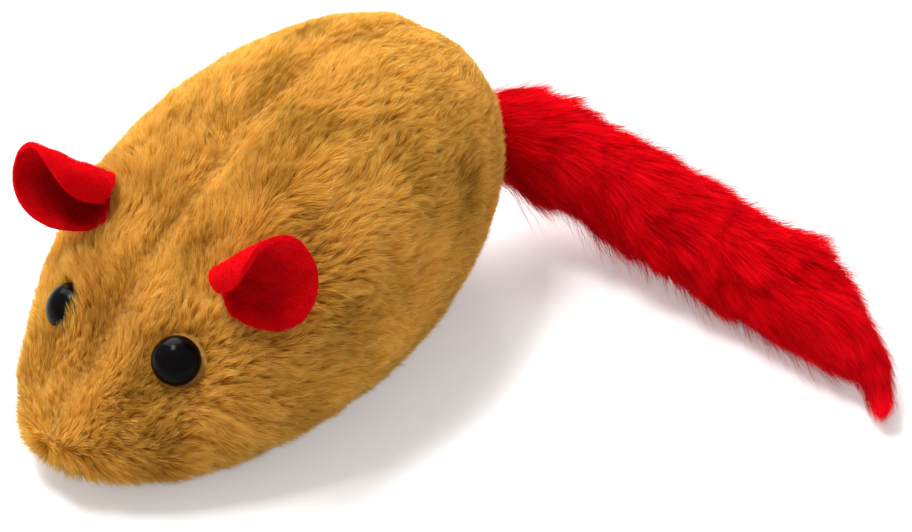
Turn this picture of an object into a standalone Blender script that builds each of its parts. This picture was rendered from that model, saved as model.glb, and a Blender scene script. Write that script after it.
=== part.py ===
"""Plush mouse squeaky toy: a stuffed plush body round a bellows squeaker, felt ears and a furry tail.

Metres, +Z up. The nose points towards -Y and the mouse's left is +X. The origin is on the floor under
the middle of the body, on the flat of the belly panel.
"""

import math
from collections import namedtuple

import bmesh
import bpy
import numpy as np
from mathutils import Matrix, Vector
from mathutils.bvhtree import BVHTree

# Gap between pieces that touch, how far a cut runs past what it cuts, and how near points are joined
GAP = 0.0003
OVERRUN = 0.010
MERGE = 0.00001

# Body: a form that swells and tapers from the nose to the rump
BODY_LENGTH = 0.115
BODY_HALF_WIDTH = 0.0345
BODY_HEIGHT = 0.060
MIDLINE_RISE = 0.0147
SECTION_FULLNESS = 2.25
STATION_SHARES = (0.0, 0.33, 0.67, 1.0)
WIDTH_SHARES = (0.73, 0.995, 0.915, 0.94)
RISE_SHARES = (0.036, 0.479, 0.655, 0.773)
DROP_SHARES = (0.377, 0.333, 0.438, 0.53)
CAGE_SWELL = 1.036
CAGE_STRETCH = 1.013
SKIN_ROUND_SEGMENTS = 16
SKIN_LONG_SEGMENTS = 12
FILLING_ROUND_SEGMENTS = 12
FILLING_LONG_SEGMENTS = 10

# Plush skin, and how far the back can be pressed down over the belly panel
SKIN = 0.0012
SQUEEZE_TRAVEL = 0.007
EDGE_CLEARANCE = 0.0008
PANEL_EDGE = SQUEEZE_TRAVEL + EDGE_CLEARANCE
BELLY_LAP = 0.0025
BELLY_TOP = PANEL_EDGE + BELLY_LAP
REST_CUT = 0.0005
BODY_SINK = SKIN + GAP + REST_CUT

# Stuffing
FILLING_SPLIT = BELLY_TOP + SQUEEZE_TRAVEL + GAP
RUMP_CUT_SHARE = 0.53

# Eyes: domed buttons on ribbed shanks, each locked by a washer behind the skin
EYE_ALONG_SHARES = {"left": -0.669, "right": -0.693}
EYE_ANGLES = {"left": math.radians(36.5), "right": math.radians(43.0)}
EYE_RADIUS = 0.0046
EYE_DOME = 0.0036
EYE_RIM = 0.0008
EYE_STEPS = 20
SHANK_RADIUS = 0.0018
SHANK_LENGTH = 0.0085
RIB_HEIGHT = 0.0003
RIB_PITCH = 0.0012
RIB_COUNT = 4
WASHER_RADIUS = 0.0055
WASHER_THICKNESS = 0.0012
WASHER_DISH = 0.0009
WASHER_DEPTH = SKIN + GAP + WASHER_DISH

# Ears: an oval of felt each, cut straight at its sewn base, with its upper side rolled forward.
# Both are cut alike; each is sewn on with its own lie, and its stand is how high the base sits.
EAR_TALL_RADIUS = 0.0113
EAR_WIDE_RADIUS = 0.0125
FELT = 0.0011
EAR_GATHER_RADIUS = 0.0024
EAR_SPREAD_SHARE = 0.97
EAR_BEND_STEPS = 400
EAR_ROUND_SEGMENTS = 22
EAR_OUT_SEGMENTS = 5
EarForm = namedtuple(
    "EarForm",
    "along_share angle stand apex_depth base_cut open_curl tight_curl curl_start curl_softness tip face",
)
EAR_FORMS = {
    "left": EarForm(
        along_share=-0.449,
        angle=math.radians(53.75),
        stand=0.0017,
        apex_depth=0.0090,
        base_cut=0.0033,
        open_curl=-0.286,
        tight_curl=5.359,
        curl_start=-0.002,
        curl_softness=0.096,
        tip=Vector((0.805, 0.331, 0.492)),
        face=Vector((0.415, -0.907, -0.069)),
    ),
    "right": EarForm(
        along_share=-0.354,
        angle=math.radians(51.0),
        stand=0.0,
        apex_depth=0.0193,
        base_cut=0.0034,
        open_curl=1.351,
        tight_curl=7.304,
        curl_start=-0.181,
        curl_softness=0.097,
        tip=Vector((0.584, -0.680, 0.443)),
        face=Vector((-0.689, -0.704, -0.173)),
    ),
}

# Squeaker: a pleated bellows with its whistle in the mouth below
BELLOWS_ALONG_SHARE = 0.14
BELLOWS_FLOOR = 0.0085
BELLOWS_HEIGHT = 0.024
BELLOWS_RADIUS = 0.0165
PLEAT_DEPTH = 0.0032
PLEAT_COUNT = 4
BELLOWS_WALL = 0.0008
BELLOWS_STEPS = 24
NECK_BORE = 0.0050
NECK_LENGTH = 0.0040
HOLDER_FLANGE = 0.0012
HOLDER_STEPS = 24
TROUGH_RADIUS = 0.0032
TROUGH_LENGTH = 0.0100
AIRWAY_RADIUS = 0.0017
REED_FLAT = 0.0004
REED_WIDTH = 0.0042
REED_THICKNESS = 0.0003
REED_LENGTH = 0.0090
REED_LIFT = math.radians(3.0)
CLAMP_DEPTH = 0.0014
CLAMP_HEIGHT = 0.0022

# Tail: one soft limb in four sections, each with a round end in the pocket of the one before
TAIL_REACH = 0.104
TAIL_SWEEP = 0.0148
TAIL_ROOT_HEIGHT = 0.026
TAIL_RADIUS = 0.0080
TAIL_FLOOR_GAP = 0.0004
TAIL_ALONG_SHARES = (0.0, 0.067, 0.135, 0.231, 0.385, 0.538, 0.692, 0.856, 0.933, 1.0)
TAIL_SWEEP_SHARES = (0.0, 0.37, 0.63, 0.82, 0.93, 1.0, 0.98, 0.71, 0.47, 0.0)
TAIL_LIFT_SHARES = (1.0, 0.84, 0.705, 0.5625, 0.39, 0.227, 0.10, 0.0, 0.03, 0.11)
TAIL_JOINT_SHARES = (0.0, 0.175, 0.455, 0.735)
TAIL_TAPER_SHARE = 0.82
TAIL_TIP_SHARE = 0.35
TAIL_BALL_SHARE = 0.66
TAIL_BEND = math.radians(30.0)
BALL_CAP_ANGLE = math.radians(20.0)
BALL_STEPS = 5
SWELL_STEPS = 5
ROUTE_STEPS = 20
TAIL_SIDES_RESOLUTION = 6
TAIL_RING_PITCH = 0.0050
ROOT_DEPTH = 0.0015
ROOT_BALL_RADIUS = 0.0050
ROOT_NECK_RADIUS = 0.0036
ROOT_NECK_LENGTH = 0.0050
ROOT_SWELL_LENGTH = 0.0130
ROOT_HOLE_RADIUS = 0.0070

# Colours, roughness
PLUSH = ("plush", (0.50, 0.23, 0.055), 0.95)
RED_FELT = ("red_felt", (0.55, 0.003, 0.008), 0.9)
RED_PILE = ("red_pile", (0.60, 0.002, 0.008), 0.8)
BLACK_PLASTIC = ("black_plastic", (0.004, 0.004, 0.004), 0.12)
NATURAL_PLASTIC = ("natural_plastic", (0.72, 0.72, 0.68), 0.5)
FIBRE = ("fibre", (0.82, 0.82, 0.80), 1.0)
BELLOWS_PLASTIC = ("bellows_plastic", (0.62, 0.66, 0.70), 0.4)


def clear_scene():
    for obj in list(bpy.data.objects):
        bpy.data.objects.remove(obj)


def collection(name):
    made = bpy.data.collections.new(name)
    bpy.context.scene.collection.children.link(made)
    return made


def material(look):
    name, colour, roughness = look
    made = bpy.data.materials.get(name)
    if made is None:
        made = bpy.data.materials.new(name)
        made.use_nodes = True
        shader = made.node_tree.nodes["Principled BSDF"]
        shader.inputs["Base Color"].default_value = (*colour, 1.0)
        shader.inputs["Roughness"].default_value = roughness
    return made


def add_object(name, mesh, group, look=None):
    obj = bpy.data.objects.new(name, mesh)
    group.objects.link(obj)
    if look is not None:
        mesh.materials.append(material(look))
    return obj


def hide_as_cutter(obj):
    obj.hide_render = True
    obj.display_type = "WIRE"
    return obj


def boolean(obj, other, operation, solver="EXACT"):
    made = obj.modifiers.new(f"{operation.lower()}_{other.name}", "BOOLEAN")
    made.operation = operation
    made.object = other
    made.solver = solver


def shade_smooth(mesh):
    mesh.shade_smooth()
    mesh.set_sharp_from_angle(angle=math.radians(35))


def mesh_from(bm, name):
    bmesh.ops.recalc_face_normals(bm, faces=bm.faces)
    mesh = bpy.data.meshes.new(name)
    bm.to_mesh(mesh)
    bm.free()
    return mesh


def block(name, low, high):
    """A cutter box between two corners."""
    bm = bmesh.new()
    bmesh.ops.create_cube(bm, size=1)
    low, high = Vector(low), Vector(high)
    size, middle = high - low, (high + low) / 2
    for vert in bm.verts:
        vert.co = Vector(a * b for a, b in zip(vert.co, size)) + middle
    return hide_as_cutter(add_object(name, mesh_from(bm, name), CUTTERS))


def ball(name, radius, centre, segments=20):
    bm = bmesh.new()
    bmesh.ops.create_uvsphere(bm, u_segments=segments, v_segments=segments // 2, radius=radius)
    obj = hide_as_cutter(add_object(name, mesh_from(bm, name), CUTTERS))
    obj.location = centre
    return obj


def rod(name, radius, low, high, segments=24):
    """A cutter cylinder round its own Z axis, from height low to height high."""
    bm = bmesh.new()
    bmesh.ops.create_cone(
        bm, cap_ends=True, segments=segments, radius1=radius, radius2=radius, depth=high - low
    )
    bmesh.ops.translate(bm, verts=bm.verts, vec=(0, 0, (high + low) / 2))
    return hide_as_cutter(add_object(name, mesh_from(bm, name), CUTTERS))


def turned(name, profile, steps, group, look):
    """A profile of (radius, height) points, top to bottom down its outer side, turned about Z."""
    mesh = bpy.data.meshes.new(name)
    points = [(radius, 0, height) for radius, height in profile]
    mesh.from_pydata(points, [(i, i + 1) for i in range(len(points) - 1)], [])
    obj = add_object(name, mesh, group, look)
    screw = obj.modifiers.new("turn", "SCREW")
    screw.axis = "Z"
    screw.steps = steps
    screw.render_steps = steps
    screw.use_merge_vertices = True
    screw.merge_threshold = MERGE
    screw.use_smooth_shade = True
    return obj


def swell(shares, along):
    """A smooth curve through four shares at the stations of the body."""
    total = 0.0
    for i, share in enumerate(shares):
        weight = 1.0
        for j, station in enumerate(STATION_SHARES):
            if j != i:
                weight *= (along - station) / (STATION_SHARES[i] - station)
        total += share * weight
    return total


def midline(along):
    return MIDLINE_START + MIDLINE_RISE * along


def body_point(unit, inset):
    """Where a point of the unit sphere lies on the body, drawn in by an inset."""
    along = (1 + unit.y) / 2
    spread = math.hypot(unit.x, unit.z)
    half_width = spread * (BODY_HALF_WIDTH * swell(WIDTH_SHARES, along) - inset)
    rise = spread * (BODY_HEIGHT * swell(RISE_SHARES, along) - inset)
    drop = spread * (BODY_HEIGHT * swell(DROP_SHARES, along) - inset)
    angle = math.atan2(unit.z, unit.x)
    power = 2 / SECTION_FULLNESS
    across = math.copysign(abs(math.cos(angle)) ** power, math.cos(angle))
    upward = math.copysign(abs(math.sin(angle)) ** power, math.sin(angle))
    middle = midline(along) + (rise - drop) / 2
    return Vector(
        (
            CAGE_SWELL * half_width * across,
            CAGE_STRETCH * unit.y * (BODY_LENGTH / 2 - inset),
            middle + CAGE_SWELL * (rise + drop) / 2 * upward,
        )
    )


def body_form(name, inset, group, look=None, filling=False):
    """The whole body as a soft closed form: a round cage with its poles at nose and rump, smoothed."""
    bm = bmesh.new()
    bmesh.ops.create_uvsphere(
        bm,
        u_segments=FILLING_ROUND_SEGMENTS if filling else SKIN_ROUND_SEGMENTS,
        v_segments=FILLING_LONG_SEGMENTS if filling else SKIN_LONG_SEGMENTS,
        radius=1,
        matrix=Matrix.Rotation(math.pi / 2, 4, "X"),
    )
    for vert in bm.verts:
        vert.co = body_point(vert.co, inset)
    mesh = mesh_from(bm, name)
    mesh.shade_smooth()
    obj = add_object(name, mesh, group, look)
    smooth = obj.modifiers.new("smooth", "SUBSURF")
    smooth.levels = 1
    smooth.render_levels = 1
    return obj


def lowest_of_form():
    """How low the smoothed skin reaches while its midline starts at zero."""
    trial = body_form("trial_form", 0.0, CUTTERS)
    smoothed = trial.evaluated_get(bpy.context.evaluated_depsgraph_get())
    lowest = min(vert.co.z for vert in smoothed.data.vertices)
    bpy.data.objects.remove(trial)
    return lowest


def evaluated_tree(obj):
    return BVHTree.FromObject(obj, bpy.context.evaluated_depsgraph_get())


def seat(along_share, angle, side):
    """The point and outward direction on the skin at a share of the length, round the section."""
    y = along_share * BODY_LENGTH / 2
    along = (1 + along_share) / 2
    direction = Vector((side * math.cos(angle), 0, math.sin(angle)))
    start = Vector((0, y, midline(along)))
    point, normal, _, _ = OUTER_TREE.ray_cast(start, direction)
    return point, normal


def frame_at(point, normal):
    """A placing whose Z runs along the normal and whose X stays level."""
    level = Vector((0, 0, 1)).cross(normal).normalized()
    return Matrix.Translation(point) @ Matrix(
        (level, normal.cross(level), normal)
    ).transposed().to_4x4()


def cylinder_cut(name, radius, low, high, placing):
    cutter = rod(name, radius, low, high)
    cutter.matrix_world = placing
    return cutter


def eye_profile():
    dome = [
        (EYE_RADIUS * math.sin(a), EYE_RIM + EYE_DOME * math.cos(a))
        for a in np.linspace(0, math.pi / 2, 7)
    ]
    points = dome + [(EYE_RADIUS, 0.0), (SHANK_RADIUS, 0.0)]
    height = -SKIN - GAP
    for _ in range(RIB_COUNT):
        points.append((SHANK_RADIUS, height))
        points.append((SHANK_RADIUS + RIB_HEIGHT, height - RIB_PITCH / 2))
        height -= RIB_PITCH
        points.append((SHANK_RADIUS, height + RIB_PITCH / 4))
    points.append((SHANK_RADIUS, height))
    points.append((SHANK_RADIUS / 2, -SHANK_LENGTH))
    points.append((0.0, -SHANK_LENGTH))
    return points


def washer_profile():
    """Round the dished section of the washer, back to its first point."""
    bore = SHANK_RADIUS + RIB_HEIGHT + GAP
    top = -WASHER_DEPTH
    upper = (bore, top - WASHER_THICKNESS / 3)
    return [
        upper,
        (WASHER_RADIUS, top),
        (WASHER_RADIUS, top - WASHER_THICKNESS * 2 / 3),
        (bore, top - WASHER_THICKNESS),
        upper,
    ]


def make_eye(side_name, side):
    """One eye and its washer, with the cutters that make room for the shank and the washer."""
    point, normal = seat(EYE_ALONG_SHARES[side_name], EYE_ANGLES[side_name], side)
    placing = frame_at(point + normal * GAP, normal)
    eye = turned(f"{side_name}_eye", eye_profile(), EYE_STEPS, PIECES, BLACK_PLASTIC)
    eye.matrix_world = placing
    washer = turned(
        f"{side_name}_eye_washer", washer_profile(), EYE_STEPS, PIECES, NATURAL_PLASTIC
    )
    washer.matrix_world = placing
    shank_room = cylinder_cut(
        f"{side_name}_shank_room",
        SHANK_RADIUS + RIB_HEIGHT + GAP,
        -SHANK_LENGTH - GAP,
        OVERRUN,
        placing,
    )
    washer_room = cylinder_cut(
        f"{side_name}_washer_room",
        WASHER_RADIUS + GAP,
        -WASHER_DEPTH - WASHER_THICKNESS - GAP,
        OVERRUN,
        placing,
    )
    return eye, washer, shank_room, washer_room


def ear_directions(form, limit):
    """The rays of the rolled felt from its apex: a curve on the unit sphere that bends more and more."""
    angles = np.linspace(-limit, limit, EAR_BEND_STEPS)
    step = angles[1] - angles[0]
    rays = np.zeros((EAR_BEND_STEPS, 3))
    for sense in (1, -1):
        ray, along = np.array((1.0, 0, 0)), np.array((0, 1.0, 0))
        i = EAR_BEND_STEPS // 2
        while 0 <= i < EAR_BEND_STEPS:
            rays[i] = ray
            onset = 1 / (1 + math.exp((form.curl_start - angles[i]) / form.curl_softness))
            curl = form.open_curl + (form.tight_curl - form.open_curl) * onset
            across = np.cross(ray, along)
            ray, along = ray + sense * step * along, along + sense * step * (curl * across - ray)
            ray /= np.linalg.norm(ray)
            along -= (along @ ray) * ray
            along /= np.linalg.norm(along)
            i += sense
    return angles, rays


def ear_span(form, angle):
    """How far from the apex the felt starts and ends along the ray at an angle."""
    centre = form.apex_depth + EAR_TALL_RADIUS
    bend = (math.cos(angle) / EAR_TALL_RADIUS) ** 2 + (math.sin(angle) / EAR_WIDE_RADIUS) ** 2
    slope = centre * math.cos(angle) / EAR_TALL_RADIUS**2
    root = math.sqrt(slope**2 - bend * ((centre / EAR_TALL_RADIUS) ** 2 - 1))
    near, far = (slope - root) / bend, (slope + root) / bend
    cut = (form.apex_depth + form.base_cut) / math.cos(angle)
    return min(max(near, cut), far - root / bend / 2), far


def ear_lie(form, side):
    """The ear's directions: along its middle ray, across it, and the way its open face looks."""
    tip, face = (Vector((side * v.x, v.y, v.z)) for v in (form.tip, form.face))
    tip.normalize()
    face = (face - face.dot(tip) * tip).normalized()
    return tip, side * face.cross(tip), face


def ear_sheet(name, form, side):
    """The felt as an open surface about its seat, from a flat grid bent by the rays."""
    ratio = (1 + form.apex_depth / EAR_TALL_RADIUS) ** 2 - 1
    limit = EAR_SPREAD_SHARE * math.atan(EAR_WIDE_RADIUS / EAR_TALL_RADIUS / math.sqrt(ratio))
    angles, rays = ear_directions(form, limit)
    tip, upward, inward = ear_lie(form, side)
    bm = bmesh.new()
    bmesh.ops.create_grid(
        bm, x_segments=EAR_ROUND_SEGMENTS, y_segments=EAR_OUT_SEGMENTS, size=1
    )
    for vert in bm.verts:
        angle = limit * (vert.co.x + math.sin(vert.co.x * math.pi / 2)) / 2
        ray = Vector(float(np.interp(angle, angles, rays[:, k])) for k in range(3))
        near, far = ear_span(form, angle)
        out = near + (far - near) * (vert.co.y + 1) / 2
        apex = -(form.apex_depth + form.base_cut) * tip
        vert.co = apex + out * (ray.x * tip + ray.y * upward + ray.z * inward)
    mesh = mesh_from(bm, name)
    mesh.shade_smooth()
    obj = add_object(name, mesh, PIECES, RED_FELT)
    thick = obj.modifiers.new("felt", "SOLIDIFY")
    thick.thickness = FELT
    thick.offset = 0
    return obj


def make_ear(side_name, side):
    """Rolled felt, trimmed where it meets the skin, on its gathered base in a pocket of the skin."""
    form = EAR_FORMS[side_name]
    point, normal = seat(form.along_share, form.angle, side)
    ear = ear_sheet(f"{side_name}_ear", form, side)
    ear.location = point + form.stand * normal
    boolean(ear, OUTSET, "DIFFERENCE")
    gather = ball(f"{side_name}_ear_gather", EAR_GATHER_RADIUS, point, 16)
    boolean(ear, gather, "UNION")
    pocket = ball(f"{side_name}_ear_pocket", EAR_GATHER_RADIUS + GAP, point)
    return ear, pocket


def bellows_profile():
    """Down the pleats outside, through the mouth and back up inside, a wall's width in."""
    top = BELLOWS_FLOOR + BELLOWS_HEIGHT
    pitch = (BELLOWS_HEIGHT - 2 * BELLOWS_WALL) / PLEAT_COUNT
    slope = math.hypot(PLEAT_DEPTH, pitch / 2) / (pitch / 2)
    outside = []
    for i in range(PLEAT_COUNT):
        crest = top - BELLOWS_WALL - pitch * (i + 0.5)
        outside.append((BELLOWS_RADIUS - PLEAT_DEPTH, crest + pitch / 2))
        outside.append((BELLOWS_RADIUS - BELLOWS_WALL / 4, crest + pitch / 10))
        outside.append((BELLOWS_RADIUS - BELLOWS_WALL / 4, crest - pitch / 10))
    outside.append((BELLOWS_RADIUS - PLEAT_DEPTH, BELLOWS_FLOOR + BELLOWS_WALL))
    inside = [(radius - BELLOWS_WALL * slope, height) for radius, height in reversed(outside)]
    mouth = NECK_BORE + BELLOWS_WALL
    lower = BELLOWS_FLOOR + BELLOWS_WALL
    return (
        [(0.0, top), (outside[0][0] - BELLOWS_WALL, top)]
        + outside
        + [
            (BELLOWS_RADIUS - PLEAT_DEPTH - BELLOWS_WALL, BELLOWS_FLOOR),
            (mouth, BELLOWS_FLOOR),
            (mouth, BELLOWS_FLOOR - NECK_LENGTH),
            (NECK_BORE, BELLOWS_FLOOR - NECK_LENGTH),
            (NECK_BORE, lower),
        ]
        + inside
        + [(0.0, top - BELLOWS_WALL)]
    )


def make_squeaker():
    """The bellows, its whistle plug with a trough for the reed, the clamp and the reed tongue."""
    centre = Vector((0, BELLOWS_ALONG_SHARE * BODY_LENGTH / 2, 0))
    bellows = turned("squeaker_bellows", bellows_profile(), BELLOWS_STEPS, PIECES, BELLOWS_PLASTIC)
    plug_radius = NECK_BORE - GAP
    flange_radius = NECK_BORE + BELLOWS_WALL
    flange_top = BELLOWS_FLOOR - NECK_LENGTH - GAP
    shoulder = BELLOWS_FLOOR + BELLOWS_WALL
    trough_top = shoulder + TROUGH_LENGTH
    holder = turned(
        "reed_holder",
        [
            (0.0, trough_top),
            (TROUGH_RADIUS, trough_top),
            (TROUGH_RADIUS, shoulder),
            (plug_radius, shoulder),
            (plug_radius, flange_top),
            (flange_radius, flange_top),
            (flange_radius, flange_top - HOLDER_FLANGE),
            (0.0, flange_top - HOLDER_FLANGE),
        ],
        HOLDER_STEPS,
        PIECES,
        NATURAL_PLASTIC,
    )
    flat = centre + Vector((0, REED_FLAT, 0))
    flat_cut = block(
        "reed_flat_cut",
        flat + Vector((-OVERRUN, 0, shoulder)),
        flat + Vector((OVERRUN, OVERRUN, trough_top + OVERRUN)),
    )
    airway = rod(
        "airway",
        AIRWAY_RADIUS,
        flange_top - HOLDER_FLANGE - OVERRUN,
        trough_top - AIRWAY_RADIUS,
        16,
    )
    airway.location = flat
    boolean(holder, flat_cut, "DIFFERENCE")
    boolean(holder, airway, "DIFFERENCE")
    hinge = flat + Vector((0, GAP + REED_THICKNESS / 2, shoulder + GAP))
    reed = plate("reed_tongue", (REED_WIDTH, REED_THICKNESS, REED_LENGTH), NATURAL_PLASTIC)
    reed.location = hinge
    reed.rotation_euler = (-REED_LIFT, 0, 0)
    clamp = plate("reed_clamp", (REED_WIDTH, CLAMP_DEPTH, CLAMP_HEIGHT), NATURAL_PLASTIC)
    lean = CLAMP_HEIGHT * math.tan(REED_LIFT)
    clamp.location = hinge + Vector((0, REED_THICKNESS / 2 + GAP + lean + CLAMP_DEPTH / 2, 0))
    for obj in (bellows, holder):
        obj.location = centre
    return bellows, holder, reed, clamp, centre


def plate(name, size, look):
    """A flat piece that stands up from its own origin, with its edges taken off."""
    bm = bmesh.new()
    bmesh.ops.create_cube(bm, size=1)
    for vert in bm.verts:
        vert.co = Vector((vert.co.x * size[0], vert.co.y * size[1], (vert.co.z + 1 / 2) * size[2]))
    obj = add_object(name, mesh_from(bm, name), PIECES, look)
    edge = obj.modifiers.new("edge", "BEVEL")
    edge.width = min(size) / 5
    edge.segments = 1
    return obj


def pressed_form(name, inset, group, look=None, filling=False):
    """The body drawn in by an inset, kept to what the back leaves free all the way down."""
    form = body_form(name, inset, group, look, filling)
    low = hide_as_cutter(body_form(f"{name}_pressed", inset, CUTTERS, None, filling))
    low.location.z = -SQUEEZE_TRAVEL
    boolean(form, low, "INTERSECT", "MANIFOLD")
    return form


def make_skin(holes):
    """The two side panels, with the seam gap between them, open below where they lap the belly panel."""
    reach = BODY_LENGTH / 2 + OVERRUN
    tall = BODY_HEIGHT + MIDLINE_RISE + OVERRUN
    panels = []
    for side_name, side in SIDES:
        panel = body_form(f"{side_name}_side_panel", 0.0, PIECES, PLUSH)
        near, far = side * GAP / 2, side * (BODY_HALF_WIDTH + OVERRUN)
        half = block(
            f"{side_name}_half",
            (min(near, far), -reach, PANEL_EDGE),
            (max(near, far), reach, tall),
        )
        boolean(panel, INNER, "DIFFERENCE")
        boolean(panel, half, "INTERSECT")
        for hole in holes[side_name]:
            boolean(panel, hole, "DIFFERENCE")
        panels.append(panel)
    return panels


def make_belly_panel():
    """A shallow dish inside the edge of the side panels, cut flat where it rests on the floor."""
    inset = SKIN + GAP
    dish = pressed_form("belly_panel", inset, PIECES, PLUSH)
    hollow = hide_as_cutter(pressed_form("belly_hollow", inset + SKIN, CUTTERS))
    reach = BODY_LENGTH / 2 + OVERRUN
    slab = block(
        "belly_slab",
        (-BODY_HALF_WIDTH - OVERRUN, -reach, 0),
        (BODY_HALF_WIDTH + OVERRUN, reach, BELLY_TOP),
    )
    boolean(dish, slab, "INTERSECT")
    boolean(dish, hollow, "DIFFERENCE")
    return dish


def make_fillings(bellows_centre, eye_rooms, ear_pockets, tail_pocket):
    """Wads of stuffing: one in the belly, and three above the split that move with the back."""
    reach = BODY_LENGTH / 2 + OVERRUN
    wide = BODY_HALF_WIDTH + OVERRUN
    tall = BODY_HEIGHT + MIDLINE_RISE + OVERRUN
    ears_end = max(form.along_share for form in EAR_FORMS.values()) * BODY_LENGTH / 2
    head_cut = ears_end + EAR_GATHER_RADIUS + GAP + SKIN
    rump_cut = RUMP_CUT_SHARE * BODY_LENGTH / 2
    top = BELLOWS_FLOOR + BELLOWS_HEIGHT
    bellows_room = rod("bellows_room", BELLOWS_RADIUS + GAP, BELLOWS_FLOOR - GAP, top + GAP, 32)
    mouth_room = rod(
        "mouth_room",
        NECK_BORE + BELLOWS_WALL + GAP,
        BELLOWS_FLOOR - NECK_LENGTH - HOLDER_FLANGE - 2 * GAP,
        BELLOWS_FLOOR,
    )
    for room in (bellows_room, mouth_room):
        room.location = bellows_centre
    inset = SKIN + GAP
    belly = pressed_form("belly_filling", 2 * inset, PIECES, FIBRE, filling=True)
    below = block("below_split", (-wide, -reach, -OVERRUN), (wide, reach, FILLING_SPLIT - GAP))
    boolean(belly, below, "INTERSECT")
    boolean(belly, bellows_room, "DIFFERENCE")
    boolean(belly, mouth_room, "DIFFERENCE")
    stretches = (
        ("head_filling", -reach, head_cut, eye_rooms + ear_pockets),
        ("back_filling", head_cut + GAP, rump_cut, [bellows_room]),
        ("rump_filling", rump_cut + GAP, reach, [tail_pocket]),
    )
    wads = [belly]
    for name, start, end, rooms in stretches:
        wad = body_form(name, inset, PIECES, FIBRE, filling=True)
        span = block(f"{name}_span", (-wide, start, FILLING_SPLIT), (wide, end, tall))
        boolean(wad, span, "INTERSECT", "MANIFOLD")
        for room in rooms:
            boolean(wad, room, "DIFFERENCE")
        wads.append(wad)
    return wads


def tail_radius(share):
    """The tail's own radius at a share of its length, tapering to a round tip."""
    if share <= TAIL_TAPER_SHARE:
        return TAIL_RADIUS
    past = (share - TAIL_TAPER_SHARE) / (1 - TAIL_TAPER_SHARE)
    return TAIL_RADIUS * (TAIL_TIP_SHARE + (1 - TAIL_TIP_SHARE) * math.sqrt(1 - past**2))


def tail_route(root):
    """Points close together along the tail's middle line, and the length up to each."""
    columns = []
    for along, sweep, lift in zip(TAIL_ALONG_SHARES, TAIL_SWEEP_SHARES, TAIL_LIFT_SHARES):
        floor = tail_radius(along) + TAIL_FLOOR_GAP
        height = floor + lift * (TAIL_ROOT_HEIGHT - TAIL_RADIUS - TAIL_FLOOR_GAP)
        columns.append((along * TAIL_REACH, root.y + sweep * TAIL_SWEEP, height))
    knots = np.array(columns)
    ends = [2 * knots[0] - knots[1], *knots, 2 * knots[-1] - knots[-2]]
    points = []
    for a, b, c, d in zip(ends, ends[1:], ends[2:], ends[3:]):
        for t in np.linspace(0, 1, ROUTE_STEPS, endpoint=False):
            points.append(
                (2 * b + (c - a) * t + (2 * a - 5 * b + 4 * c - d) * t**2
                 + (3 * b - a - 3 * c + d) * t**3) / 2
            )
    points.append(knots[-1])
    points = np.array(points)
    lengths = np.append(0, np.cumsum(np.linalg.norm(np.diff(points, axis=0), axis=1)))
    return points, lengths


def route_at(route, length):
    points, lengths = route
    return Vector(float(np.interp(length, lengths, points[:, k])) for k in range(3))


def section_radius(from_pivot, full, first):
    """The radius a way past a section's pivot: a ball, then a flare that clears its neighbour's rim."""
    if first:
        ball_radius, neck = ROOT_BALL_RADIUS, ROOT_NECK_RADIUS
        past = (from_pivot - ROOT_NECK_LENGTH) / ROOT_SWELL_LENGTH
        share = min(max(past, 0.0), 1.0)
        flare = neck + (full - neck) * (1 - math.cos(share * math.pi)) / 2 if from_pivot > 0 else 0.0
    else:
        ball_radius = TAIL_BALL_SHARE * full
        flare = (from_pivot - GAP / math.cos(TAIL_BEND)) / math.tan(TAIL_BEND)
    round_end = math.sqrt(max(ball_radius**2 - from_pivot**2, 0.0))
    return max(round_end, min(full, flare))


def tail_section(name, route, start, end, first):
    """One section as a tapering tube along the route, from its round end to its flat one."""
    total = route[1][-1]
    ball_radius = ROOT_BALL_RADIUS if first else TAIL_BALL_SHARE * tail_radius(start / total)
    turns = np.linspace(BALL_CAP_ANGLE, math.pi / 2, BALL_STEPS)
    ball_steps = [-ball_radius * math.cos(turn) for turn in turns]
    if first:
        settle = ROOT_NECK_LENGTH + ROOT_SWELL_LENGTH
        swelling = np.arange(SWELL_STEPS) / SWELL_STEPS
        near = [ball_radius / 2, *(ROOT_NECK_LENGTH + ROOT_SWELL_LENGTH * swelling)]
    else:
        settle = TAIL_RADIUS * math.tan(TAIL_BEND) + GAP / math.cos(TAIL_BEND)
        meet = ball_radius * math.sin(TAIL_BEND) + GAP
        near = [meet / 2, meet, (meet + settle) / 2]
    count = max(2, round((end - start - settle) / TAIL_RING_PITCH))
    steps = [*ball_steps, *near, *np.linspace(settle, end - start, count + 1)]
    pivot = route_at(route, start)
    direction = (route_at(route, start + TAIL_RADIUS) - pivot).normalized()
    curve = bpy.data.curves.new(name, "CURVE")
    curve.dimensions = "3D"
    curve.bevel_depth = TAIL_RADIUS
    curve.bevel_resolution = TAIL_SIDES_RESOLUTION
    curve.use_fill_caps = True
    spline = curve.splines.new("POLY")
    spline.points.add(len(steps) - 1)
    for point, step in zip(spline.points, steps):
        place = pivot + direction * step if step < 0 else route_at(route, start + step)
        full = tail_radius(max(start + step, 0) / total)
        point.co = (*(place - pivot), 1)
        point.radius = section_radius(step, full, first) / TAIL_RADIUS
    guide = bpy.data.objects.new(f"{name}_guide", curve)
    CUTTERS.objects.link(guide)
    bpy.context.view_layer.update()
    graph = bpy.context.evaluated_depsgraph_get()
    mesh = bpy.data.meshes.new_from_object(guide.evaluated_get(graph))
    bpy.data.objects.remove(guide)
    bm = bmesh.new()
    bm.from_mesh(mesh)
    bmesh.ops.remove_doubles(bm, verts=bm.verts, dist=MERGE)
    bmesh.ops.recalc_face_normals(bm, faces=bm.faces)
    bm.to_mesh(mesh)
    bm.free()
    mesh.name = name
    mesh.materials.clear()
    shade_smooth(mesh)
    section = add_object(name, mesh, PIECES, RED_PILE)
    section.location = pivot
    return section


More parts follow.
